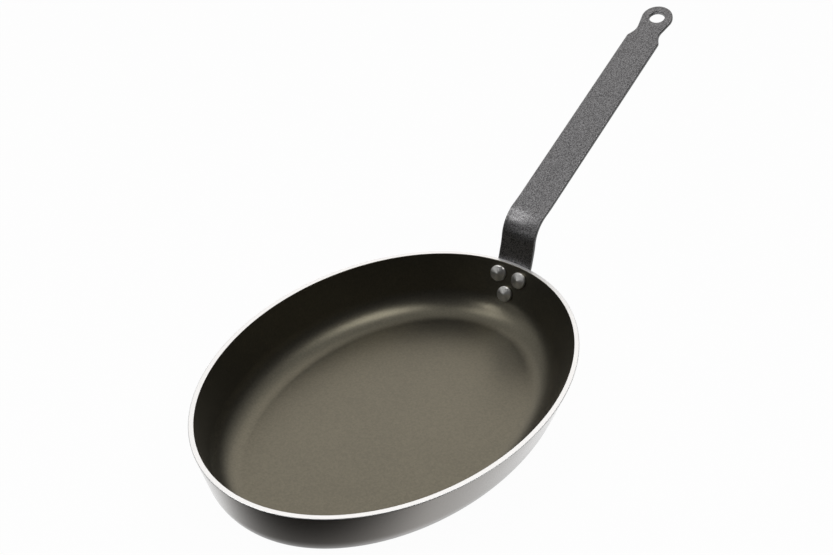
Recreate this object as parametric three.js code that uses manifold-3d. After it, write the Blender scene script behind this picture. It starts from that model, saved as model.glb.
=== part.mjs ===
// Oval fish pan: a pressed aluminium body, a bent steel strip handle and three rivets.
// Millimetres, +Z up. The origin is the middle of the base, and +X runs towards the handle.

import * as THREE from 'three';
import { mergeVertices } from 'three/addons/utils/BufferGeometryUtils.js';
import Module from 'manifold-3d';

// Pan body
const panLength = 360;             // at the rim's outer edge, before its corner is eased
const panWidth = 250;
const panHeight = 51;
const wallThickness = 4;           // one thickness all over, as pressed from one sheet
const wallFlare = 17;              // degrees from upright
const innerCornerRadius = 26;      // between floor and wall
const rimEdgeRadius = 0.6;

// Handle strip
const stripWidth = 31;
const stripThickness = 4;
const stripEdgeRadius = 0.8;
const tabCornerRadius = 12;        // lower end, against the wall
const tabEndMargin = 9;            // from the lower rivet to that end
const rimBendRadius = 15;          // slight bend where the strip leaves the wall
const uprightLean = 4.2;           // degrees outwards
const bendHeight = 88.2;           // corner of upright and grip faces, above the base
const bendRadius = 28;             // over the top face
const gripRise = 25;               // degrees from level
const gripLength = 257;            // from that corner to the eye
const eyeRadius = 14;
const eyeHoleRadius = 7;
const eyeTaper = 10;               // degrees, from the neck out to the eye
const neckLength = 19.7;           // from the eye back to the neck's corner
const neckRadius = 15;
const shoulderSlope = 27;          // degrees, from full width in to the neck
const shoulderRadius = 2.5;

// Rivets
const headRadius = 7;
const headEdge = 0.9;              // upright edge under the rounded shoulder
const headShoulderRadius = 1.1;
const headSlope = 14;              // degrees, flank of the low pointed crown
const shankRadius = 2.5;
const tailRadius = 5;
const tailEdge = 0.6;
const tailDome = 1.6;
const upperRivetSpacing = 20;
const upperRivetDrop = 10.5;       // below the rim, along the wall
const lowerRivetMargin = 3.4;      // above the start of the corner, along the wall

// Clearances
const seatGap = 0.3;               // between faces that rest on each other
const holeGap = 0.3;               // round a shank, on the radius

// Facets
const panSides = 96;
const cornerSteps = 8;
const edgeSteps = 2;
const tabSteps = 6;
const rimBendSteps = 2;
const uprightSteps = 6;
const bendSteps = 10;
const shoulderSteps = 3;
const crownSteps = 4;
const faceSteps = 8;               // across the strip
const roundSides = 24;
const tipAngle = THREE.MathUtils.degToRad(8);   // the eye's arc stops here and closes flat

const flare = THREE.MathUtils.degToRad(wallFlare);
const halfLength = panLength / 2;
const halfWidth = panWidth / 2;
const outerCornerRadius = innerCornerRadius + wallThickness;
const cornerTop = outerCornerRadius - innerCornerRadius * Math.sin(flare);    // inner wall starts here
const rimWidth = wallThickness / Math.cos(flare);
const cornerInset = (panHeight - outerCornerRadius) * Math.tan(flare) + outerCornerRadius / Math.cos(flare);
const floorHalfWidth = halfWidth - cornerInset;

const wasm = await Module();
wasm.setup();

// Solids for cutting, and back to geometry

function solidOf(geometry) {
  const bare = new THREE.BufferGeometry();
  bare.setAttribute('position', geometry.getAttribute('position'));
  bare.setIndex(geometry.getIndex());
  const merged = mergeVertices(bare, 1e-4);
  const corners = merged.getIndex().array;
  const kept = [];
  for (let i = 0; i < corners.length; i += 3) {
    const [a, b, c] = corners.slice(i, i + 3);
    if (a !== b && b !== c && c !== a) kept.push(a, b, c);
  }
  return new wasm.Manifold(new wasm.Mesh({
    numProp: 3,
    vertProperties: new Float32Array(merged.getAttribute('position').array),
    triVerts: new Uint32Array(kept),
  }));
}

function geometryOf(solid) {
  const mesh = solid.getMesh();
  const geometry = new THREE.BufferGeometry();
  geometry.setAttribute('position', new THREE.BufferAttribute(mesh.vertProperties, 3));
  geometry.setIndex(new THREE.BufferAttribute(mesh.triVerts, 1));
  geometry.computeVertexNormals();
  return geometry;
}

function cut(solid, holes) {
  return holes.reduce((rest, hole) => rest.subtract(hole), solid);
}

function arc(x, y, radius, from, to, steps) {
  return new THREE.EllipseCurve(x, y, radius, radius, from, to, to < from).getPoints(steps);
}

function finish(name, geometry, color, roughness, metalness) {
  const material = new THREE.MeshStandardMaterial({ color, roughness, metalness });
  const mesh = new THREE.Mesh(geometry, material);
  mesh.name = name;
  return mesh;
}

// Oval wall: every level is an ellipse, drawn in from the rim by the same inset on both axes

function innerInset(z) {
  return rimWidth + (panHeight - z) * Math.tan(flare);
}

// How far the outer wall falls back from the pan's end, at a distance y from the long axis
function endSag(y, z) {
  const inset = Math.max(panHeight - z, 0) * Math.tan(flare);
  const a = halfLength - inset;
  const b = halfWidth - inset;
  return a * (1 - Math.sqrt(1 - (y / b) ** 2));
}

// A point on the inner wall at the handle end, with the normal that looks into the pan
function innerWallFrame(y, z) {
  const inset = innerInset(z);
  const a = halfLength - inset;
  const b = halfWidth - inset;
  const turn = Math.asin(y / b);
  const along = new THREE.Vector3(-a * Math.sin(turn), b * Math.cos(turn), 0);
  const down = new THREE.Vector3(-Math.cos(turn), -Math.sin(turn), -1 / Math.tan(flare));
  return {
    point: new THREE.Vector3(a * Math.cos(turn), y, z),
    normal: along.cross(down).normalize(),
    planRadius: b * b / a,
  };
}

// Closed section of the body from the middle of the base, round the rim, to the middle of the floor
function bodySection() {
  const centre = new THREE.Vector2(floorHalfWidth, outerCornerRadius);
  const outerEdge = halfWidth - rimEdgeRadius * (1 / Math.cos(flare) + Math.tan(flare));
  const innerEdge = halfWidth - rimWidth + rimEdgeRadius * (1 / Math.cos(flare) - Math.tan(flare));
  const edgeHeight = panHeight - rimEdgeRadius;
  return [
    new THREE.Vector2(0, 0),
    ...arc(centre.x, centre.y, outerCornerRadius, -Math.PI / 2, -flare, cornerSteps),
    ...arc(outerEdge, edgeHeight, rimEdgeRadius, -flare, Math.PI / 2, edgeSteps),
    ...arc(innerEdge, edgeHeight, rimEdgeRadius, Math.PI / 2, Math.PI - flare, edgeSteps),
    ...arc(centre.x, centre.y, innerCornerRadius, -flare, -Math.PI / 2, cornerSteps),
    new THREE.Vector2(0, wallThickness),
  ];
}

// Draws a round turned shape out along X into the oval, with the floor spread evenly
function drawOval(geometry) {
  const position = geometry.getAttribute('position');
  const extra = halfLength - halfWidth;
  for (let i = 0; i < position.count; i++) {
    const x = position.getX(i);
    const radius = Math.hypot(x, position.getY(i));
    if (radius > 0) position.setX(i, x + extra * (x / radius) * Math.min(1, radius / floorHalfWidth));
  }
  return geometry;
}

function makeBody(rivetHoles) {
  const turned = new THREE.LatheGeometry(bodySection(), panSides).rotateX(Math.PI / 2);
  const body = cut(solidOf(drawOval(turned)), rivetHoles);
  return finish('pan_body', geometryOf(body), 0x2c2a26, 0.45, 0.3);
}

// Rivets: where they sit, their turned shape, and the holes for their shanks

const lowerRivetDrop = (panHeight - cornerTop) / Math.cos(flare) - lowerRivetMargin;
const rivetPlaces = {
  rivet_upper_left: { y: upperRivetSpacing / 2, drop: upperRivetDrop },
  rivet_upper_right: { y: -upperRivetSpacing / 2, drop: upperRivetDrop },
  rivet_lower: { y: 0, drop: lowerRivetDrop },
};

function rivetFrame({ y, drop }) {
  const frame = innerWallFrame(y, panHeight - drop * Math.cos(flare));
  frame.turn = new THREE.Quaternion().setFromUnitVectors(new THREE.Vector3(0, 1, 0), frame.normal);
  return frame;
}

function tailPoints(foot) {
  const sphere = (tailRadius ** 2 + tailDome ** 2) / (2 * tailDome);
  const spread = Math.asin(tailRadius / sphere);
  const points = arc(0, 0, sphere, Math.PI / 2, Math.PI / 2 - spread, cornerSteps);
  points[0].x = 0;
  return points.map((p) => new THREE.Vector2(p.x, foot - (p.y - sphere + tailDome)));
}

function crownPoints(foot) {
  const slope = THREE.MathUtils.degToRad(headSlope);
  const shoulderCentre = headRadius - headShoulderRadius;
  const points = arc(shoulderCentre, foot, headShoulderRadius, 0, Math.PI / 2 - slope, crownSteps);
  const flank = points.at(-1);
  return [...points, new THREE.Vector2(0, flank.y + flank.x * Math.tan(slope))];
}

// Turned about Y: the wall's inner face is at 0, the head above it and the upset tail below
function makeRivet(name, place) {
  const frame = rivetFrame(place);
  const hollow = headRadius ** 2 / (2 * frame.planRadius);    // flat head across the hollow wall
  const headSeat = seatGap + hollow;
  const tailSeat = -(wallThickness + seatGap + stripThickness + seatGap);
  const section = [
    ...tailPoints(tailSeat - tailEdge),
    new THREE.Vector2(tailRadius, tailSeat),
    new THREE.Vector2(shankRadius, tailSeat),
    new THREE.Vector2(shankRadius, headSeat),
    new THREE.Vector2(headRadius, headSeat),
    ...crownPoints(headSeat + headEdge),
  ];
  const geometry = geometryOf(solidOf(new THREE.LatheGeometry(section, roundSides)));
  const mesh = finish(name, geometry, 0xc8c6c1, 0.35, 0.9);
  mesh.position.copy(frame.point);
  mesh.quaternion.copy(frame.turn);
  return mesh;
}

function makeRivetHole(place) {
  const frame = rivetFrame(place);
  const reach = 4 * (wallThickness + stripThickness);
  const drill = new THREE.CylinderGeometry(shankRadius + holeGap, shankRadius + holeGap, reach, roundSides);
  drill.applyQuaternion(frame.turn).translate(...frame.point.toArray());
  return solidOf(drill);
}

// Handle: the bent line of its front and top face in the XZ plane

function lean(degrees) {
  const angle = THREE.MathUtils.degToRad(degrees);
  return new THREE.Vector2(Math.sin(angle), Math.cos(angle));
}

// Straight runs between corners, joined by arcs of the given radii
function bentLine(corners, radii) {
  const line = new THREE.CurvePath();
  let from = corners[0];
  radii.forEach((radius, i) => {
    const corner = corners[i + 1];
    const before = corner.clone().sub(corners[i]).normalize();
    const after = corners[i + 2].clone().sub(corner).normalize();
    const turn = Math.atan2(before.cross(after), before.dot(after));
    const reach = radius * Math.tan(Math.abs(turn) / 2);
    const start = corner.clone().addScaledVector(before, -reach);
    const side = Math.sign(turn);
    const centre = start.clone().add(new THREE.Vector2(-before.y, before.x).multiplyScalar(side * radius));
    const angle = start.clone().sub(centre).angle();
    line.add(new THREE.LineCurve(from, start));
    line.add(new THREE.EllipseCurve(centre.x, centre.y, radius, radius, angle, angle + turn, turn < 0));
    from = corner.clone().addScaledVector(after, reach);
  });
  line.add(new THREE.LineCurve(from, corners[corners.length - 1]));
  return line;
}

function handleLine() {
  const wallUp = lean(wallFlare);
  const upright = lean(uprightLean);
  const grip = lean(90 - gripRise);
  const rimFront = new THREE.Vector2(halfLength + seatGap / Math.cos(flare), panHeight);
  const bendStart = rimBendRadius * Math.tan(THREE.MathUtils.degToRad(wallFlare - uprightLean) / 2);
  const rimCorner = rimFront.clone().addScaledVector(wallUp, bendStart);
  const tabEnd = rimFront.clone().addScaledVector(wallUp, -(lowerRivetDrop + tabEndMargin));
  const bendCorner = rimCorner.clone().addScaledVector(upright, (bendHeight - rimCorner.y) / upright.y);
  const tip = bendCorner.clone().addScaledVector(grip, gripLength + eyeRadius);
  return bentLine([tabEnd, rimCorner, bendCorner, tip], [rimBendRadius, bendRadius]);
}

// Half the flat strip's outline: x is the length along the strip, y the half width there
function handleOutline(length) {
  const half = stripWidth / 2;
  const taper = THREE.MathUtils.degToRad(eyeTaper);
  const slope = THREE.MathUtils.degToRad(shoulderSlope);
  const eyeAt = length - eyeRadius;
  const neckHalf = eyeRadius / Math.cos(taper) - neckLength * Math.tan(taper);
  const neck = new THREE.Vector2(eyeAt - neckLength, neckHalf);
  const shoulder = new THREE.Vector2(neck.x - (half - neckHalf) / Math.tan(slope), half);
  const tabTop = new THREE.Vector2(tabCornerRadius, half);
  const eyeSide = new THREE.Vector2(eyeAt - eyeRadius * Math.sin(taper), eyeRadius * Math.cos(taper));
  const edge = bentLine([tabTop, shoulder, neck, eyeSide], [shoulderRadius, neckRadius]);
  return [
    ...arc(tabCornerRadius, half - tabCornerRadius, tabCornerRadius, Math.PI, Math.PI / 2, cornerSteps),
    ...edge.getPoints(shoulderSteps),
    ...arc(eyeAt, 0, eyeRadius, Math.PI / 2 + taper, tipAngle, 2 * cornerSteps),
  ];
}

function halfWidthAt(outline, distance) {
  const next = outline.findIndex((p) => p.x >= distance);
  if (next <= 0) return outline[next === 0 ? 0 : outline.length - 1].y;
  const [a, b] = [outline[next - 1], outline[next]];
  return THREE.MathUtils.mapLinear(distance, a.x, b.x, a.y, b.y);
}

// Places along the strip where it gets a section: its runs and bends, and its outline's own points
function handleStations(line, outline) {
  const steps = [tabSteps, rimBendSteps, uprightSteps, bendSteps, 1];
  const ends = line.getCurveLengths();
  const closest = stripEdgeRadius / 4;
  const all = outline.map((p) => p.x);
  steps.forEach((count, i) => {
    const start = i === 0 ? 0 : ends[i - 1];
    for (let k = 1; k <= count; k++) all.push(start + (ends[i] - start) * k / count);
  });
  const last = outline[outline.length - 1].x;
  const sorted = all.filter((s) => s < last - closest).sort((a, b) => a - b);
  return [...sorted.filter((s, i) => i === 0 || s - sorted[i - 1] > closest), last];
}

// Rounded section of the strip: x is across, y is the depth behind the front face
function stripSection(half) {
  const r = stripEdgeRadius;
  const across = half - r;
  const deep = stripThickness - r;
  const points = [];
  const face = (from, to, depth) => {
    for (let k = 1; k < faceSteps; k++) {
      points.push(new THREE.Vector2(THREE.MathUtils.lerp(from, to, k / faceSteps), depth));
    }
  };
  points.push(...arc(-across, r, r, Math.PI, 1.5 * Math.PI, edgeSteps));
  face(-across, across, 0);
  points.push(...arc(across, r, r, 1.5 * Math.PI, 2 * Math.PI, edgeSteps));
  points.push(...arc(across, deep, r, 0, 0.5 * Math.PI, edgeSteps));
  face(across, -across, stripThickness);
  points.push(...arc(-across, deep, r, 0.5 * Math.PI, Math.PI, edgeSteps));
  return points;
}

// Skin over a row of equal rings of points, closed by a fan at both ends
function loft(rings) {
  const count = rings[0].length;
  const positions = rings.flat().flatMap((p) => p.toArray());
  const index = [];
  for (let i = 0; i + 1 < rings.length; i++) {
    for (let k = 0; k < count; k++) {
      const a = i * count + k;
      const b = i * count + (k + 1) % count;
      index.push(a, a + count, b, b, a + count, b + count);
    }
  }
  const last = (rings.length - 1) * count;
  for (let k = 1; k + 1 < count; k++) {
    index.push(0, k, k + 1);
    index.push(last, last + k + 1, last + k);
  }
  const geometry = new THREE.BufferGeometry();
  geometry.setAttribute('position', new THREE.Float32BufferAttribute(positions, 3));
  geometry.setIndex(index);
  return geometry;
}

// The strip is hollowed to the oval wall below the rim, and flattens out up to the bend
function makeHandle(rivetHoles) {
  const line = handleLine();
  const length = line.getLength();
  const outline = handleOutline(length);
  const flatFrom = line.getPoint(line.getCurveLengths()[2] / length).y;
  const rings = handleStations(line, outline).map((distance) => {
    const front = line.getPoint(distance / length);
    const tangent = line.getTangent(distance / length);
    const normal = new THREE.Vector2(-tangent.y, tangent.x);
    return stripSection(halfWidthAt(outline, distance)).map((p) => {
      const place = front.clone().addScaledVector(normal, -p.y);
      const hollow = 1 - THREE.MathUtils.smoothstep(place.y, panHeight, flatFrom);
      return new THREE.Vector3(place.x - hollow * endSag(p.x, place.y), p.x, place.y);
    });
  });
  const eye = line.getPoint(1 - eyeRadius / length);
  const drill = new THREE.CylinderGeometry(eyeHoleRadius, eyeHoleRadius, 4 * stripThickness, roundSides);
  drill.rotateX(Math.PI / 2).rotateY(-THREE.MathUtils.degToRad(gripRise)).translate(eye.x, 0, eye.y);
  const strip = cut(solidOf(loft(rings)), [...rivetHoles, solidOf(drill)]);
  return finish('handle', geometryOf(strip), 0x4b4a4c, 0.5, 0.4);
}

const rivetHoles = Object.values(rivetPlaces).map(makeRivetHole);
const pan = new THREE.Group();
pan.name = 'fish_pan';
pan.add(makeBody(rivetHoles));
pan.add(makeHandle(rivetHoles));
for (const [name, place] of Object.entries(rivetPlaces)) {
  pan.add(makeRivet(name, place));
}

export default pan;
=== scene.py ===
import math

import bmesh
import bpy
from mathutils import Matrix, Vector


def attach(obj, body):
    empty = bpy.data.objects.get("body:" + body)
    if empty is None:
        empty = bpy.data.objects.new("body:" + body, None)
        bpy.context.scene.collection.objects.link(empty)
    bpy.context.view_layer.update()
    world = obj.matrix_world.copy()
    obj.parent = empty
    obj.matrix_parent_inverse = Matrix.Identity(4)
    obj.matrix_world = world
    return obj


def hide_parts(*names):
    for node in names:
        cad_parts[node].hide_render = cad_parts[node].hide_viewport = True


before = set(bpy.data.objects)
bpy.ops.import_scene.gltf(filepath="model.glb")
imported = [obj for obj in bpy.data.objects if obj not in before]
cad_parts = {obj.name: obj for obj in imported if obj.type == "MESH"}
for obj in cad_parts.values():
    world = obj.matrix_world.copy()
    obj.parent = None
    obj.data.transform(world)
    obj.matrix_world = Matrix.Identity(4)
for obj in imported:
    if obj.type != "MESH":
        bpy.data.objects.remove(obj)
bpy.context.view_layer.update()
print("frame loaded:", ", ".join(sorted(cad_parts)))

fullTurn = 2 * math.pi
quarterTurn = math.pi / 2


# sums on sockets: each one adds a Math node
class Wire:
    def __init__(self, nodes, socket):
        self.nodes = nodes
        self.socket = socket

    def sum(self, operation, first, second):
        return self.nodes.node("ShaderNodeMath", {"operation": operation}, {0: first, 1: second})

    def __add__(self, other):
        return self.sum("ADD", self, other)

    def __radd__(self, other):
        return self.sum("ADD", other, self)

    def __sub__(self, other):
        return self.sum("SUBTRACT", self, other)

    def __rsub__(self, other):
        return self.sum("SUBTRACT", other, self)

    def __mul__(self, other):
        return self.sum("MULTIPLY", self, other)

    def __rmul__(self, other):
        return self.sum("MULTIPLY", other, self)

    def __pow__(self, other):
        return self.sum("POWER", self, other)

    def __rpow__(self, other):
        return self.sum("POWER", other, self)

    def larger(self, other):
        return self.sum("MAXIMUM", self, other)

    def mingle(self, other, share):
        return self * (1 - share) + other * share


# the nodes of a material or of the world
class Nodes:
    def __init__(self, tree):
        self.tree = tree

    def node(self, kind, settings=None, sockets=None, out=0):
        made = self.tree.nodes.new(kind)
        for key, value in (settings or {}).items():
            setattr(made, key, value)
        for key, value in (sockets or {}).items():
            self.feed(made.inputs[key], value)
        return Wire(self, made.outputs[out])

    def feed(self, socket, value):
        if isinstance(value, Wire):
            self.tree.links.new(value.socket, socket)
        else:
            socket.default_value = value

    def place(self):
        return self.node("ShaderNodeTexCoord", out="Object")

    def ray(self, kind):
        return self.node("ShaderNodeLightPath", out=kind)

    def axis(self, place, index):
        return self.node("ShaderNodeSeparateXYZ", {}, {0: place}, out=index)

    def facing(self, way, towards):
        return self.node("ShaderNodeVectorMath", {"operation": "DOT_PRODUCT"}, {
            0: way, 1: towards}, out="Value")

    # distance from the Z axis, 1 on the oval with these half sizes
    def fromAxis(self, place, halfX=1.0, halfY=1.0):
        across = self.axis(place, 0) * (1 / halfX)
        sideways = self.axis(place, 1) * (1 / halfY)
        return (across ** 2 + sideways ** 2) ** 0.5

    def noise(self, place, scale, detail=2.0, roughness=0.5):
        return self.node("ShaderNodeTexNoise", {}, {
            "Vector": place, "Scale": scale, "Detail": detail, "Roughness": roughness})

    # tool marks that change with the radius alone
    def grooves(self, radius, density, roughness=0.5):
        line = self.node("ShaderNodeCombineXYZ", {}, {0: radius * density})
        return self.noise(line, 1.0, roughness=roughness)

    def ease(self, value, low, high, start=0.0, end=1.0):
        return self.node("ShaderNodeMapRange", {"interpolation_type": "SMOOTHSTEP"}, {
            "Value": value, "From Min": low, "From Max": high, "To Min": start, "To Max": end})

    # a Mix node takes its colours at sockets 6 and 7 and gives one at output 2
    def blend(self, factor, first, second):
        first, second = (c if isinstance(c, Wire) else (*c, 1.0) for c in (first, second))
        return self.node("ShaderNodeMix", {"data_type": "RGBA"}, {0: factor, 6: first, 7: second}, out=2)

    def relief(self, height, depth, strength):
        return self.node("ShaderNodeBump", {}, {"Height": height, "Distance": depth, "Strength": strength})


# one material: its sockets are given by name, baseColor for Base Color
class Finish(Nodes):
    def __init__(self, name):
        self.material = bpy.data.materials.new(name)
        self.material.use_nodes = True
        super().__init__(self.material.node_tree)
        self.shader = self.tree.nodes["Principled BSDF"]

    def coat(self, **sockets):
        for name, value in sockets.items():
            self.feed(self.shader.inputs[socketNames[name]], value)


socketNames = {
    "baseColor": "Base Color", "metallic": "Metallic", "roughness": "Roughness", "normal": "Normal",
    "specular": "Specular IOR Level", "specularTint": "Specular Tint", "coatWeight": "Coat Weight",
    "coatRoughness": "Coat Roughness",
}


def spread(start, end, steps):
    return [start + (end - start) * i / steps for i in range(steps + 1)]


def between(first, last, steps):
    return list(zip(*(spread(a, b, steps)[1:-1] for a, b in zip(first, last))))


def arcPoints(centre, radius, start, end, steps):
    angles = spread(start, end, steps)
    return [(centre[0] + radius * math.cos(a), centre[1] + radius * math.sin(a)) for a in angles]


def smoothStep(value, low, high):
    t = min(max((value - low) / (high - low), 0.0), 1.0)
    return t * t * (3 - 2 * t)


def addObject(name, bm, finishes=()):
    bmesh.ops.recalc_face_normals(bm, faces=bm.faces)
    mesh = bpy.data.meshes.new(name)
    bm.to_mesh(mesh)
    bm.free()
    for finish in finishes:
        mesh.materials.append(finish.material)
    made = bpy.data.objects.new(name, mesh)
    bpy.context.scene.collection.objects.link(made)
    return made


# keeps the piece's evaluated mesh and drops its modifiers
def bakeModifiers(piece):
    graph = bpy.context.evaluated_depsgraph_get()
    mesh = bpy.data.meshes.new_from_object(piece.evaluated_get(graph))
    piece.modifiers.clear()
    piece.data = mesh


def drill(piece, cutters):
    for cutter in cutters:
        hole = piece.modifiers.new("hole", "BOOLEAN")
        hole.object = cutter
        hole.operation = "DIFFERENCE"
        hole.solver = "EXACT"
    bakeModifiers(piece)
    for cutter in cutters:
        bpy.data.objects.remove(cutter)


def smoothPiece(piece, sharpAngle=35, flatWeight=80):
    piece.data.shade_smooth()
    piece.data.set_sharp_from_angle(angle=math.radians(sharpAngle))
    weighted = piece.modifiers.new("weighted normals", "WEIGHTED_NORMAL")
    weighted.keep_sharp = True
    weighted.weight = flatWeight


def seatPiece(piece, node):
    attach(piece, "root")
    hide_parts(node)


def joinRings(bm, rings, slots=None):
    for row, (lower, upper) in enumerate(zip(rings, rings[1:])):
        sides = max(len(lower), len(upper))
        for i in range(sides):
            k = (i + 1) % sides
            corners = []
            for ring, at in ((lower, i), (lower, k), (upper, k), (upper, i)):
                vert = ring[at % len(ring)]
                if vert not in corners:         # a ring of one point gives triangles
                    corners.append(vert)
            face = bm.faces.new(corners)
            face.material_index = slots[row] if slots else 0


def roundPoint(radius, turn, height):
    return Vector((radius * math.cos(turn), radius * math.sin(turn), height))


# turns a section of (radius, height) points round Z, each place given by the shape
def turned(section, sides, shape=roundPoint, slots=None):
    bm = bmesh.new()
    rings = []
    for radius, height in section:
        count = sides if radius > 0 else 1
        turns = [fullTurn * i / sides for i in range(count)]
        rings.append([bm.verts.new(shape(radius, turn, height)) for turn in turns])
    joinRings(bm, rings, slots)
    return bm


pan = {
    "length": 0.360, "width": 0.250, "height": 0.051, "wall": 0.004,
    "flare": math.radians(17), "innerCorner": 0.026, "rimEdge": 0.0006,
    "sides": 360, "floorRings": 8, "cornerSteps": 22, "wallRings": 9, "edgeSteps": 6,
    "bareOutside": 5, "bareInside": 2,      # steps of the soft edges that lacquer and lining leave bare
    "lining": {
        "dark": (0.100, 0.091, 0.066), "light": (0.131, 0.119, 0.086), "toneRange": (0.3, 0.7),
        "clouds": {"scale": 16.0, "detail": 3.0, "roughness": 0.55},
        "grain": {"scale": 600.0, "detail": 3.0, "roughness": 0.6},
        "flakes": 1500.0, "metallic": 0.96, "grainShare": 0.75, "flakeShare": 0.3,
        "roughness": 0.28, "grainRoughness": 0.06, "cloudRoughness": 0.04,
        "coatWeight": 0.42, "coatRoughness": 0.5, "relief": {"depth": 0.00003, "strength": 0.5},
    },
    "rim": {
        "dark": (0.82, 0.818, 0.812), "light": (0.90, 0.898, 0.892),
        "grooves": {"density": 900.0}, "smear": {"scale": 90.0, "detail": 3.0},
        "roughness": 0.40, "grooveRoughness": 0.1, "smearRoughness": 0.06,
        "relief": {"depth": 0.00002, "strength": 0.4},
    },
    "lacquer": {
        "dark": (0.008, 0.0068, 0.0046), "light": (0.012, 0.0106, 0.0078), "worn": (0.12, 0.118, 0.115),
        "glossTint": (1.0, 0.8, 0.58, 1.0),
        "peel": {"scale": 260.0}, "clouds": {"scale": 22.0, "detail": 3.0},
        "lines": {"scale": 1.0, "detail": 3.0, "roughness": 0.6}, "lineStretch": (14.0, 14.0, 900.0),
        "scuffs": {"scale": 140.0, "detail": 4.0, "roughness": 0.7}, "scuffRange": (0.5, 0.68),
        "scuffHeight": 0.0006, "lineShare": 0.6, "wornCoat": 0.6, "coatRoughness": 0.17,
        "roughness": 0.17, "cloudRoughness": 0.05, "lineRoughness": 0.08, "wornRoughness": 0.2,
        "relief": {"depth": 0.00006, "strength": 0.4},
    },
}
flareSin, flareCos, flareTan = (f(pan["flare"]) for f in (math.sin, math.cos, math.tan))
halfLength = pan["length"] / 2
halfWidth = pan["width"] / 2
outerCorner = pan["innerCorner"] + pan["wall"]
cornerTop = outerCorner - pan["innerCorner"] * flareSin
rimWidth = pan["wall"] / flareCos
floorHalfWidth = halfWidth - (pan["height"] - outerCorner) * flareTan - outerCorner / flareCos
liningSlot, rimSlot, lacquerSlot = range(3)


# section from the middle of the base, round the rim, to the middle of the floor
def panSection():
    edge = pan["rimEdge"]
    flare = pan["flare"]
    centre = (floorHalfWidth, outerCorner)
    edgeHeight = pan["height"] - edge
    outerEdge = (halfWidth - edge * (1 / flareCos + flareTan), edgeHeight)
    innerEdge = (halfWidth - rimWidth + edge * (1 / flareCos - flareTan), edgeHeight)
    flat = spread(0.0, floorHalfWidth, pan["floorRings"])[:-1]
    outerBend = arcPoints(centre, outerCorner, -quarterTurn, -flare, pan["cornerSteps"])
    innerBend = arcPoints(centre, pan["innerCorner"], -flare, -quarterTurn, pan["cornerSteps"])
    rimOut = arcPoints(outerEdge, edge, -flare, quarterTurn, pan["edgeSteps"])
    rimIn = arcPoints(innerEdge, edge, quarterTurn, math.pi - flare, pan["edgeSteps"])
    base = [(r, 0.0) for r in flat]
    floor = [(r, pan["wall"]) for r in reversed(flat)]
    outside = base + outerBend + between(outerBend[-1], rimOut[0], pan["wallRings"])
    inside = between(rimIn[-1], innerBend[0], pan["wallRings"]) + innerBend + floor
    lacquered = len(outside) + pan["edgeSteps"] - pan["bareOutside"]
    bare = pan["bareOutside"] + 1 + pan["bareInside"]
    lined = len(inside) + pan["edgeSteps"] - pan["bareInside"]
    slots = [lacquerSlot] * lacquered + [rimSlot] * bare + [liningSlot] * lined
    return outside + rimOut + rimIn + inside, slots


def ovalPoint(radius, turn, height):
    stretch = (halfLength - halfWidth) * min(1.0, radius / floorHalfWidth)
    return Vector(((radius + stretch) * math.cos(turn), radius * math.sin(turn), height))


# dark brown non-stick lining with fine metal flakes in it
def liningFinish():
    look = pan["lining"]
    lining = Finish("lining")
    place = lining.place()
    clouds = lining.noise(place, **look["clouds"])
    grain = lining.noise(place, **look["grain"])
    flakes = lining.axis(lining.node("ShaderNodeTexVoronoi", {"feature": "F1"}, {
        "Vector": place, "Scale": look["flakes"]}, out="Color"), 0)
    tone = lining.ease(clouds.mingle(grain, look["grainShare"]), *look["toneRange"])
    lining.coat(
        baseColor=lining.blend(tone, look["dark"], look["light"]),
        metallic=look["metallic"] + flakes * (1 - look["metallic"]),
        roughness=look["roughness"] + grain * look["grainRoughness"] + clouds * look["cloudRoughness"],
        coatWeight=look["coatWeight"],
        coatRoughness=look["coatRoughness"],
        normal=lining.relief(grain.mingle(flakes, look["flakeShare"]), **look["relief"]))
    return lining


# bare aluminium rim, faced on a lathe, so fine rings run round the oval
def rimFinish():
    look = pan["rim"]
    rim = Finish("bareRim")
    place = rim.place()
    grooves = rim.grooves(rim.fromAxis(place, halfLength, halfWidth), **look["grooves"])
    smear = rim.noise(place, **look["smear"])
    rim.coat(
        baseColor=rim.blend(smear, look["dark"], look["light"]),
        metallic=1.0,
        roughness=look["roughness"] + grooves * look["grooveRoughness"] + smear * look["smearRoughness"],
        normal=rim.relief(grooves, **look["relief"]))
    return rim


# dark satin lacquer on the outside, worn a little where the pan stands
def lacquerFinish():
    look = pan["lacquer"]
    lacquer = Finish("outerLacquer")
    place = lacquer.place()
    peel = lacquer.noise(place, **look["peel"])
    clouds = lacquer.noise(place, **look["clouds"])
    stretched = lacquer.node("ShaderNodeVectorMath", {"operation": "MULTIPLY"}, {
        0: place, 1: look["lineStretch"]})
    lines = lacquer.noise(stretched, **look["lines"])
    scuffs = lacquer.noise(place, **look["scuffs"])
    low = lacquer.ease(lacquer.axis(place, 2), 0.0, look["scuffHeight"], 1.0, 0.0)
    worn = low * lacquer.ease(scuffs, *look["scuffRange"])
    colour = lacquer.blend(clouds, look["dark"], look["light"])
    roughness = look["roughness"] + clouds * look["cloudRoughness"] + lines * look["lineRoughness"]
    lacquer.coat(
        baseColor=lacquer.blend(worn, colour, look["worn"]),
        roughness=roughness + worn * look["wornRoughness"],
        specular=1.0,
        specularTint=look["glossTint"],
        coatWeight=1.0 - worn * look["wornCoat"],
        coatRoughness=look["coatRoughness"],
        normal=lacquer.relief(peel.mingle(lines, look["lineShare"]), **look["relief"]))
    return lacquer


def makePan(cutters):
    section, slots = panSection()
    finishes = [liningFinish(), rimFinish(), lacquerFinish()]
    body = addObject("panShell", turned(section, pan["sides"], ovalPoint, slots), finishes)
    drill(body, cutters)
    smoothPiece(body)
    seatPiece(body, "pan_body")


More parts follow.
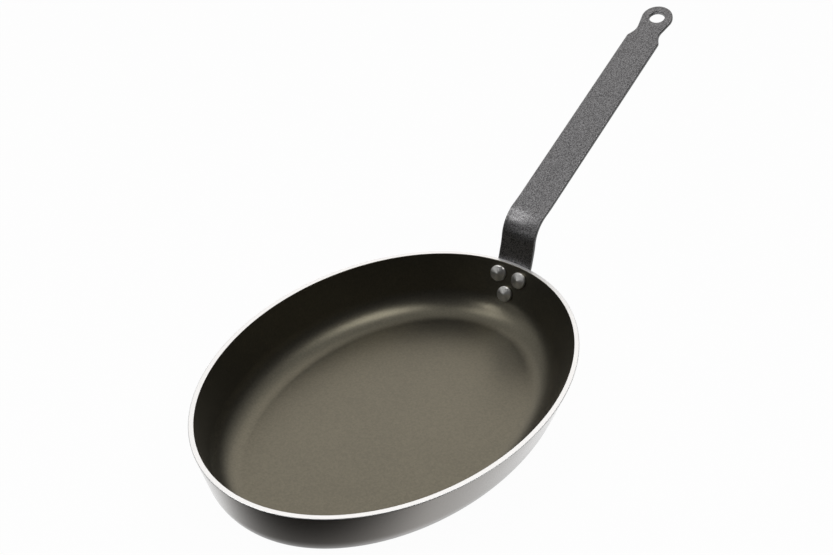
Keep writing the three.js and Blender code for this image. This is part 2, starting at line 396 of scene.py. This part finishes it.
rivet = {
    "head": {"radius": 0.007, "edge": 0.0009, "shoulder": 0.0011, "slope": math.radians(14), "tip": 0.0004},
    "tail": {"radius": 0.005, "edge": 0.0006, "shoulder": 0.0005, "slope": math.radians(21), "tip": 0.0025},
    "shank": 0.0025, "seat": 0.0003, "hole": 0.0028, "drillLength": 0.032,
    "sides": 64, "steps": 10, "shoulderSteps": 6, "sharpAngle": 50,
    "spacing": 0.020, "upperDrop": 0.0105, "lowerMargin": 0.0034,
    "metal": {
        "dark": (0.76, 0.75, 0.725), "light": (0.90, 0.89, 0.865),
        "rings": {"density": 4200.0, "roughness": 0.6},
        "smear": {"scale": 380.0, "detail": 3.0, "roughness": 0.6},
        "roughness": 0.255, "smearRoughness": 0.08, "relief": {"depth": 0.00005, "strength": 0.6},
    },
}
stripThickness = 0.004                          # the rivets reach through the wall and the handle's strip
lowerDrop = (pan["height"] - cornerTop) / flareCos - rivet["lowerMargin"]
rivetPlaces = {
    "rivet_upper_left": (rivet["spacing"] / 2, rivet["upperDrop"]),
    "rivet_upper_right": (-rivet["spacing"] / 2, rivet["upperDrop"]),
    "rivet_lower": (0.0, lowerDrop),
}


# place and direction of a rivet on the flared inner wall, its Z looking into the pan,
# and the radius of the wall's curve there
def rivetFrame(y, drop):
    height = pan["height"] - drop * flareCos
    inset = rimWidth + (pan["height"] - height) * flareTan
    a, b = halfLength - inset, halfWidth - inset
    turn = math.asin(y / b)
    sideways = Vector((-a * math.sin(turn), b * math.cos(turn), 0))
    down = Vector((-math.cos(turn), -math.sin(turn), -1 / flareTan))
    normal = sideways.cross(down).normalized()
    matrix = normal.to_track_quat("Z", "Y").to_matrix().to_4x4()
    matrix.translation = (a * math.cos(turn), y, height)
    return matrix, b * b / a


# button with a rounded shoulder and a low pointed crown, as radius and height from its foot
def buttonSection(radius, edge, shoulder, slope, tip):
    centre = (radius - shoulder, edge)
    rounding = arcPoints(centre, shoulder, 0.0, quarterTurn - slope, rivet["shoulderSteps"])
    flankRadius, flankHeight = rounding[-1]
    crown = []
    for r in spread(flankRadius, 0.0, rivet["steps"])[1:]:
        rise = math.hypot(flankRadius, tip) - math.hypot(r, tip)
        crown.append((r, flankHeight + rise * math.tan(slope)))
    return [(radius, 0.0)] + rounding + crown


def makeRivet(node, y, drop, finish):
    matrix, wallRadius = rivetFrame(y, drop)
    headFoot = rivet["seat"] + rivet["head"]["radius"] ** 2 / (2 * wallRadius)
    tailFoot = -(pan["wall"] + stripThickness + 2 * rivet["seat"])
    section = [(r, tailFoot - h) for r, h in reversed(buttonSection(**rivet["tail"]))]
    section += [(rivet["shank"], tailFoot), (rivet["shank"], headFoot)]
    section += [(r, headFoot + h) for r, h in buttonSection(**rivet["head"])]
    first, *rest = node.split("_")
    name = first + "".join(word.capitalize() for word in rest)
    piece = addObject(name, turned(section, rivet["sides"]), [finish])
    piece.matrix_world = matrix
    smoothPiece(piece, rivet["sharpAngle"])
    seatPiece(piece, node)


# satin aluminium with the rings of a turning tool round the crown
def rivetFinish():
    look = rivet["metal"]
    metal = Finish("turnedAluminium")
    place = metal.place()
    rings = metal.grooves(metal.fromAxis(place), **look["rings"])
    smear = metal.noise(place, **look["smear"])
    metal.coat(
        baseColor=metal.blend(smear, look["dark"], look["light"]),
        metallic=1.0,
        roughness=look["roughness"] + smear * look["smearRoughness"],
        normal=metal.relief(rings, **look["relief"]))
    return metal


def rivetCutter(y, drop):
    hole = rivet["hole"]
    end = rivet["drillLength"] / 2
    section = [(0.0, -end), (hole, -end), (hole, end), (0.0, end)]
    cutter = addObject("rivetDrill", turned(section, rivet["sides"]))
    cutter.matrix_world = rivetFrame(y, drop)[0]
    return cutter


def rivetCutters():
    return [rivetCutter(*place) for place in rivetPlaces.values()]


strip = {
    "width": 0.031, "edge": 0.0008, "tabCorner": 0.012, "tabMargin": 0.009,
    "rimBend": 0.015, "lean": math.radians(4.2), "bendHeight": 0.0882, "bend": 0.028,
    "rise": math.radians(25), "grip": 0.257, "eye": 0.014, "eyeHole": 0.007,
    "eyeTaper": math.radians(10), "neck": 0.0197, "neckFillet": 0.015,
    "shoulderSlope": math.radians(27), "shoulderFillet": 0.0025,
    "saddle": 0.0016, "saddleRunOut": 0.012,    # how far the edges curl up at the bend, and end beyond it
    "step": 0.0018, "arcSteps": 8, "eyeSteps": 36, "columns": 22, "edgeSteps": 4,
    "drillOver": 0.002, "drillSides": 72, "holeEdgeSteps": 5,
    "coat": {
        # paintedSideShade is the colour of painted shade on the strip's side faces
        "dark": (0.082, 0.080, 0.082), "light": (0.318, 0.313, 0.317), "paintedSideShade": (0.040, 0.039, 0.038),
        "toneRange": (0.395, 0.605), "sideRange": (0.25, 0.8),
        "pebbles": {"scale": 1040.0, "detail": 2.0, "roughness": 0.55}, "fine": {"scale": 2600.0},
        "clouds": {"scale": 30.0, "detail": 3.0}, "fineTone": 0.35, "fineRelief": 0.2, "metallic": 0.85,
        "roughness": 0.28, "cloudRoughness": 0.04, "darkRoughness": 0.06,
        "relief": {"depth": 0.00012, "strength": 0.8},
    },
}


def heading(angle):
    return Vector((math.sin(angle), math.cos(angle)))


# straight runs joined by arcs, each as start, direction, length and curvature
def bentRuns(corners, radii):
    runs = []
    start = corners[0]
    for before, corner, after, radius in zip(corners, corners[1:], corners[2:], radii):
        into = (corner - before).normalized()
        out = (after - corner).normalized()
        turn = math.atan2(into.x * out.y - into.y * out.x, into.dot(out))
        reach = radius * math.tan(abs(turn) / 2)
        runs.append((start, into, (corner - into * reach - start).length, 0.0))
        runs.append((corner - into * reach, into, radius * abs(turn), math.copysign(1 / radius, turn)))
        start = corner + out * reach
    runs.append((start, (corners[-1] - start).normalized(), (corners[-1] - start).length, 0.0))
    return runs


# point and direction at a distance along the runs
def along(runs, distance):
    for start, way, length, curve in runs:
        if distance <= length or (start, way) == runs[-1][:2]:
            break
        distance -= length
    left = Vector((-way.y, way.x))
    if not curve:
        return start + way * distance, way
    angle = distance * curve
    point = start + way * (math.sin(angle) / curve) + left * ((1 - math.cos(angle)) / curve)
    return point, way * math.cos(angle) + left * math.sin(angle)


# front and top face of the strip, in the XZ plane
def stripLine():
    rimFront = Vector((halfLength + rivet["seat"] / flareCos, pan["height"]))
    rimReach = strip["rimBend"] * math.tan((pan["flare"] - strip["lean"]) / 2)
    wallUp, upright = heading(pan["flare"]), heading(strip["lean"])
    rimCorner = rimFront + wallUp * rimReach
    tabEnd = rimFront - wallUp * (lowerDrop + strip["tabMargin"])
    bendCorner = rimCorner + upright * ((strip["bendHeight"] - rimCorner.y) / upright.y)
    tip = bendCorner + heading(quarterTurn - strip["rise"]) * (strip["grip"] + strip["eye"])
    return bentRuns([tabEnd, rimCorner, bendCorner, tip], [strip["rimBend"], strip["bend"]])


stripRuns = stripLine()
stripLength = sum(run[2] for run in stripRuns)
eyeAt = stripLength - strip["eye"]
uprightEnd = sum(run[2] for run in stripRuns[:3])
bendEnd = uprightEnd + stripRuns[3][2]
bendMiddle = (uprightEnd + bendEnd) / 2
flatFrom = along(stripRuns, uprightEnd)[0].y


# half of the flat strip's outline as (length, half width) with its outward direction
def stripOutline():
    half = strip["width"] / 2
    taper = strip["eyeTaper"]
    corner = strip["tabCorner"]
    neckHalf = strip["eye"] / math.cos(taper) - strip["neck"] * math.tan(taper)
    neck = Vector((eyeAt - strip["neck"], neckHalf))
    shoulder = Vector((neck.x - (half - neckHalf) / math.tan(strip["shoulderSlope"]), half))
    eyeSide = Vector((eyeAt - strip["eye"] * math.sin(taper), strip["eye"] * math.cos(taper)))
    outline = []

    def addArc(centre, radius, start, end, steps):
        for a in spread(start, end, steps):
            out = Vector((math.cos(a), math.sin(a)))
            outline.append((Vector(centre) + out * radius, out))

    addArc((corner, half - corner), corner, math.pi, quarterTurn, strip["arcSteps"])
    runs = bentRuns([Vector((corner, half)), shoulder, neck, eyeSide],
                    [strip["shoulderFillet"], strip["neckFillet"]])
    for run in runs:
        steps = strip["arcSteps"] if run[3] else max(1, round(run[2] / strip["step"]))
        for k in range(1, steps + 1):
            point, way = along([run], run[2] * k / steps)
            outline.append((point, Vector((-way.y, way.x))))
    addArc((eyeAt, 0.0), strip["eye"], quarterTurn + taper, 0.0, strip["eyeSteps"])
    return outline


# how far the outer wall falls back from the pan's end beside the long axis
def endSag(y, z):
    inset = max(pan["height"] - z, 0.0) * flareTan
    a, b = halfLength - inset, halfWidth - inset
    return a * (1 - math.sqrt(1 - (y / b) ** 2))


# a point of the strip from its length, side and depth behind the front face
def stripPoint(distance, y, depth):
    point, way = along(stripRuns, distance)
    out = Vector((-way.y, way.x))
    curl = smoothStep(distance, uprightEnd - strip["saddleRunOut"], bendMiddle)
    curl *= 1 - smoothStep(distance, bendMiddle, bendEnd + strip["saddleRunOut"])
    point = point + out * (strip["saddle"] * curl * (2 * y / strip["width"]) ** 2 - depth)
    hollow = (1 - smoothStep(point.y, pan["height"], flatFrom)) * endSag(y, point.y)
    return Vector((point.x - hollow, y, point.y))


# once round the strip: left side, eye tip, right side, tab end
def stripLoop(outline, inner):
    path = [(p.x, p.y, n.x, n.y) for p, n in outline[:-1]]
    mirrored = [(x, -y, nx, -ny) for x, y, nx, ny in reversed(path)]
    path += [(outline[-1][0].x, 0.0, 1.0, 0.0)] + mirrored
    return path + [(0.0, u * outline[0][0].y, -1.0, 0.0) for u in inner]


# inset and depth of each ring over the rounded edges, front to back
def edgeLevels():
    edge = strip["edge"]
    turns = spread(0.0, quarterTurn, strip["edgeSteps"])
    front = [(edge * (1 - math.sin(a)), edge * (1 - math.cos(a))) for a in turns]
    return front + [(inset, stripThickness - depth) for inset, depth in reversed(front)]


# closes the front or the back with rows of points from side to side
def fillFace(bm, ring, outline, inner, depth):
    rows = len(outline) - 1
    grid = [ring[rows * 2:] + [ring[0]]]
    for j in range(1, rows):
        p, n = outline[j]
        x, half = p.x - strip["edge"] * n.x, p.y - strip["edge"] * n.y
        middle = [bm.verts.new(stripPoint(x, u * half, depth)) for u in inner]
        grid.append([ring[rows * 2 - j]] + middle + [ring[j]])
    for lower, upper in zip(grid, grid[1:]):
        for k in range(strip["columns"]):
            bm.faces.new((lower[k], lower[k + 1], upper[k + 1], upper[k]))
    for k in range(strip["columns"]):
        bm.faces.new((grid[-1][k], grid[-1][k + 1], ring[rows]))


def stripMesh():
    outline = stripOutline()
    inner = [2 * k / strip["columns"] - 1 for k in range(1, strip["columns"])]
    path = stripLoop(outline, inner)
    bm = bmesh.new()
    rings = []
    for inset, depth in edgeLevels():
        points = [stripPoint(x - inset * nx, y - inset * ny, depth) for x, y, nx, ny in path]
        rings.append([bm.verts.new(point) for point in points])
    joinRings(bm, rings)
    fillFace(bm, rings[0], outline, inner, 0.0)
    fillFace(bm, rings[-1], outline, inner, stripThickness)
    return bm


# drill for the eye that also eases both edges of the hole
def eyeCutter():
    edge = strip["edge"]
    hole = strip["eyeHole"]
    over = strip["drillOver"]
    turns = spread(quarterTurn, 0, strip["holeEdgeSteps"])
    front = [(hole + edge * (1 - math.sin(a)), -edge * (1 - math.cos(a))) for a in turns]
    back = [(r, -stripThickness - h) for r, h in reversed(front)]
    section = [(0.0, -stripThickness - over), (hole + edge, -stripThickness - over)] + back
    section += front + [(hole + edge, over), (0.0, over)]
    cutter = addObject("eyeDrill", turned(section, strip["drillSides"]))
    point, way = along(stripRuns, eyeAt)
    normal = Vector((-way.y, 0.0, way.x))
    cutter.matrix_world = normal.to_track_quat("Z", "Y").to_matrix().to_4x4()
    cutter.matrix_world.translation = (point.x, 0.0, point.y)
    return cutter


# grey stove coat on steel, with the fine pebbled skin of baked epoxy, and painted shade darkening the side
# faces
def coatFinish():
    look = strip["coat"]
    coat = Finish("pebbledCoat")
    place = coat.place()
    pebbles = coat.noise(place, **look["pebbles"])
    fine = coat.noise(place, **look["fine"])
    clouds = coat.noise(place, **look["clouds"])
    tone = coat.ease(pebbles.mingle(fine, look["fineTone"]), *look["toneRange"])
    # painted shade: faces that look sideways are darkened as if they lay in shadow
    sideways = coat.axis(coat.node("ShaderNodeTexCoord", out="Normal"), 1)
    paintedSideShade = coat.ease(sideways * sideways, *look["sideRange"])
    colour = coat.blend(tone, look["dark"], look["light"])
    coat.coat(
        baseColor=coat.blend(paintedSideShade, colour, look["paintedSideShade"]),
        metallic=look["metallic"],
        roughness=look["roughness"] + clouds * look["cloudRoughness"] + (1 - tone) * look["darkRoughness"],
        normal=coat.relief(pebbles.mingle(fine, look["fineRelief"]), **look["relief"]))
    return coat


def makeHandle(cutters):
    handle = addObject("stripHandle", stripMesh(), [coatFinish()])
    drill(handle, cutters)
    smoothPiece(handle)
    seatPiece(handle, "handle")


makePan(rivetCutters())
print("pan shell made")

rivetMetal = rivetFinish()
for node, place in rivetPlaces.items():
    makeRivet(node, *place, rivetMetal)
print("rivets made")

makeHandle([eyeCutter()] + rivetCutters())
print("handle made")


view = {
    "azimuth": math.radians(-57.78), "elevation": math.radians(33.193), "roll": math.radians(2.687),
    "aim": (0.176726, 0.095015, 0.0), "distance": 1.167311,
    "focal": 1300, "imageWidth": 833, "sensor": 36,     # focal length and image width in pixels
}


def makeCamera():
    level = math.cos(view["elevation"])
    back = Vector((math.sin(view["azimuth"]) * level, -math.cos(view["azimuth"]) * level,
                   math.sin(view["elevation"])))
    side = Vector((math.cos(view["azimuth"]), math.sin(view["azimuth"]), 0))
    up = back.cross(side)
    rollCos, rollSin = math.cos(view["roll"]), math.sin(view["roll"])
    rows = (side * rollCos + up * rollSin, up * rollCos - side * rollSin, back)
    lens = bpy.data.cameras.new("camera")
    lens.sensor_fit = "HORIZONTAL"
    lens.sensor_width = view["sensor"]
    lens.lens = lens.sensor_width * view["focal"] / view["imageWidth"]
    camera = bpy.data.objects.new("camera", lens)
    camera.matrix_world = Matrix(rows).transposed().to_4x4()
    camera.matrix_world.translation = Vector(view["aim"]) + back * view["distance"]
    bpy.context.scene.collection.objects.link(camera)
    bpy.context.scene.camera = camera


# walls as directions with the range over which they fade in, and their brightness next to white,
# then the floor and the painted shade and shadow on its mirrored glow, then the lamps: place, target, size
# and brightness
studio = {
    "rearAt": (0.70, 0.405, 0.588), "rearFade": (0.86, 0.985), "rear": 1.53, "rearTint": (1.0, 0.97, 0.95),
    "leftAt": (0.433, 0.75, 0.5), "leftFade": (0.1, 0.74), "sides": 0.70, "front": 0.072,
    "lowFade": (0.15, 0.48), "low": 0.35,
    "floorSize": 30.0, "floorSides": 64, "floorDrop": 0.0002,
    "floorWhite": 0.6, "floorSeen": 0.975, "floorMirrored": 1.0,
    # painted shade: beyond this edge in front of the pan the mirrored floor is darkened
    "frontShadeAt": (-0.90, -0.44, 0.0), "frontShadeEdge": (0.122, 0.185), "frontShadeLevel": 0.032,
    # painted shadow: the mirrored floor is darkened under the pan
    "underPan": (0.77, 0.96), "underPanLevel": 0.3,
    "lamps": {
        "rightLamp": {"at": (0.42, -0.69, 1.38), "to": (0.10, 0.05, 0.0), "size": (0.55, 0.55), "level": 4.8},
        "leftLamp": {"at": (-0.33, 0.45, 1.49), "to": (0.15, 0.03, 0.0), "size": (0.5, 0.75), "level": 2.3},
        "leftSpot": {"at": (-0.75, 0.31, 1.05), "to": (0.188, 0.005, 0.085), "size": (0.22, 0.26),
                     "level": 9.5},
        "leftCard": {"at": (-1.08, 0.72, 0.38), "to": (0.16, 0.0, 0.04), "size": (0.9, 0.27), "level": 0.7},
    },
}


def addLamp(name, facts):
    wide, high = facts["size"]
    light = bpy.data.lights.new(name, "AREA")
    light.shape = "RECTANGLE"
    light.size, light.size_y = wide, high
    light.energy = facts["level"] * math.pi * wide * high
    lamp = bpy.data.objects.new(name, light)
    lamp.location = facts["at"]
    lamp.rotation_euler = (Vector(facts["at"]) - Vector(facts["to"])).to_track_quat("Z", "Y").to_euler()
    lamp.visible_camera = False
    bpy.context.scene.collection.objects.link(lamp)


# seen directly the floor is nearly all white and a part of its own shade stays on it,
# and what is mirrored of it glows white, with painted shade beyond an edge in front of the pan and a painted
# shadow under the pan
def floorFinish():
    floor = Finish("paleFloor")
    place = floor.place()
    camera = floor.ray("Is Camera Ray")
    glossy = floor.ray("Is Glossy Ray")
    through = floor.ray("Is Transmission Ray")
    # painted shade: the mirrored floor darkens beyond an edge in front of the pan
    forward = floor.facing(place, studio["frontShadeAt"])
    frontShade = floor.ease(forward, *studio["frontShadeEdge"], 1.0, studio["frontShadeLevel"])
    # painted shadow: the mirrored floor darkens under the pan
    outward = floor.fromAxis(place, halfLength, halfWidth)
    paintedShadowUnderPan = floor.ease(outward, *studio["underPan"], studio["underPanLevel"], 1.0)
    shown = glossy * frontShade * paintedShadowUnderPan + (1 - glossy)
    direct = camera.larger(through) * studio["floorSeen"]
    seen = direct.larger(glossy * studio["floorMirrored"])
    white = (studio["floorWhite"],) * 3 + (1.0,)
    paper = floor.node("ShaderNodeBsdfDiffuse", {}, {"Color": white})
    glow = floor.node("ShaderNodeEmission", {}, {
        "Color": floor.blend(shown, (0.0, 0.0, 0.0), (1.0, 1.0, 1.0)), "Strength": 1.0})
    mixed = floor.node("ShaderNodeMixShader", {}, {0: seen, 1: paper, 2: glow})
    floor.feed(floor.tree.nodes["Material Output"].inputs["Surface"], mixed)
    floor.tree.nodes.remove(floor.shader)
    return floor


# bright wall behind the pan, a dim room on the camera's side, plain white where seen directly
def makeWorld():
    world = bpy.data.worlds.new("studio")
    world.use_nodes = True
    sky = Nodes(world.node_tree)
    way = sky.node("ShaderNodeTexCoord", out="Generated")
    camera = sky.ray("Is Camera Ray")
    rearward = sky.facing(way, studio["rearAt"])
    room = sky.ease(sky.facing(way, studio["leftAt"]), *studio["leftFade"], studio["front"], studio["sides"])
    wall = sky.ease(rearward, *studio["rearFade"], 0.0, studio["rear"] - studio["sides"])
    level = (room + wall) * sky.ease(sky.axis(way, 2), *studio["lowFade"], studio["low"], 1.0)
    tinted = sky.ease(rearward, *studio["rearFade"]) * (1 - camera)
    background = sky.tree.nodes["Background"]
    sky.feed(background.inputs["Color"], sky.blend(tinted, (1.0, 1.0, 1.0), studio["rearTint"]))
    sky.feed(background.inputs["Strength"], level * (1 - camera) + camera)
    bpy.context.scene.world = world


def makeStage():
    bm = bmesh.new()
    bmesh.ops.create_circle(bm, cap_ends=True, segments=studio["floorSides"], radius=studio["floorSize"] / 2)
    floor = addObject("floor", bm, [floorFinish()])
    floor.location.z = -studio["floorDrop"]
    for name, facts in studio["lamps"].items():
        addLamp(name, facts)
    makeWorld()
    bpy.context.scene.view_settings.view_transform = "Standard"


makeCamera()
makeStage()
print("camera and studio made")
